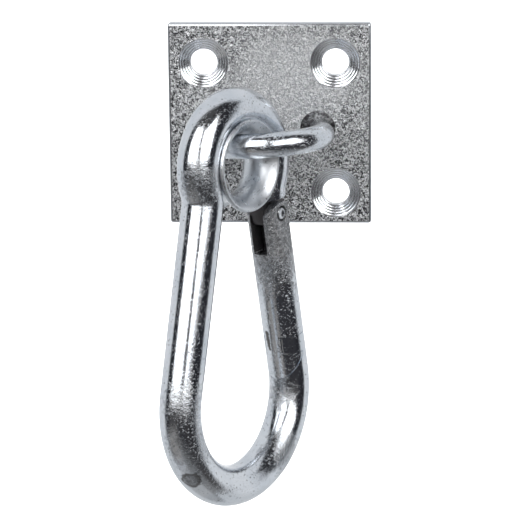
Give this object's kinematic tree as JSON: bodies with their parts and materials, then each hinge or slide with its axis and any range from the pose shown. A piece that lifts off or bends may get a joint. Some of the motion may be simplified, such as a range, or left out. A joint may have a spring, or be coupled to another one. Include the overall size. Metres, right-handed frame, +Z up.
{
  "type": "eye hook with latch",
  "caption": "Pear-shaped spring-gated hook with a thimble eye, captive on a round-bar staple of a square screw-on plate.",
  "frame": {"origin": "centre of the screw hole pattern, on the plate's back face", "axes": "+Y out of the plate's back into the wall, +Z up, +X to the right as seen from the room"},
  "size_m": [0.05, 0.0548, 0.1134],
  "materials": {
    "zinc_plate": "bright zinc over pickled steel plate",
    "zinc_staple": "bright zinc on round bar",
    "weld_zinc": "zinc over weld metal",
    "zinc_hook": "bright zinc on drawn bar",
    "zinc_thimble": "bright zinc on pressed sheet",
    "zinc_gate": "bright zinc on drawn bar, rough at the cheeks",
    "rivet_steel": "peened steel",
    "plunger_steel": "plain dark steel",
    "spring_steel": "oiled spring wire"
  },
  "bodies": {
    "eye_plate": {"mounting_plate": "zinc_plate", "staple": "zinc_staple", "staple_welds": "weld_zinc"},
    "thimble_ring": {"thimble": "zinc_thimble"},
    "hook": {"hook_body": "zinc_hook"},
    "latch_gate": {"gate": "zinc_gate", "gate_pivot_rivet": "rivet_steel", "gate_spring": "spring_steel"},
    "latch_plunger": {"gate_plunger": "plunger_steel"}
  },
  "joints": [
    {"name": "round_the_bow", "type": "hinge", "parent": "eye_plate", "child": "thimble_ring", "pos_m": [0, -0.0177, -0.0001], "axis": [-0.0697, 0.0523, 0.9962], "range_deg": [-27, 93]},
    {"name": "hook_swing", "type": "hinge", "parent": "thimble_ring", "child": "hook", "pos_m": [-0.00726, -0.02909, -0.00429], "axis": [-0.8227, 0.5675, -0.0339], "range_deg": [-6, 85]},
    {"name": "gate_hinge", "type": "hinge", "parent": "hook", "child": "latch_gate", "pos_m": [0.00006, -0.01928, -0.01787], "axis": [-0.8227, 0.5675, -0.0339], "range_deg": [0, 42], "stiffness_Nm_per_rad": 0.01, "springref_deg": -45.84},
    {"name": "plunger_slide", "type": "slide", "parent": "latch_gate", "child": "latch_plunger", "axis": [0.1114, 0.1025, -0.9885], "range_m": [0, 0.00115], "deforming": ["gate_spring"]}
  ],
  "couplings": [
    {"joint": "plunger_slide", "follows": "gate_hinge", "m_per_rad": 0.0015}
  ]
}
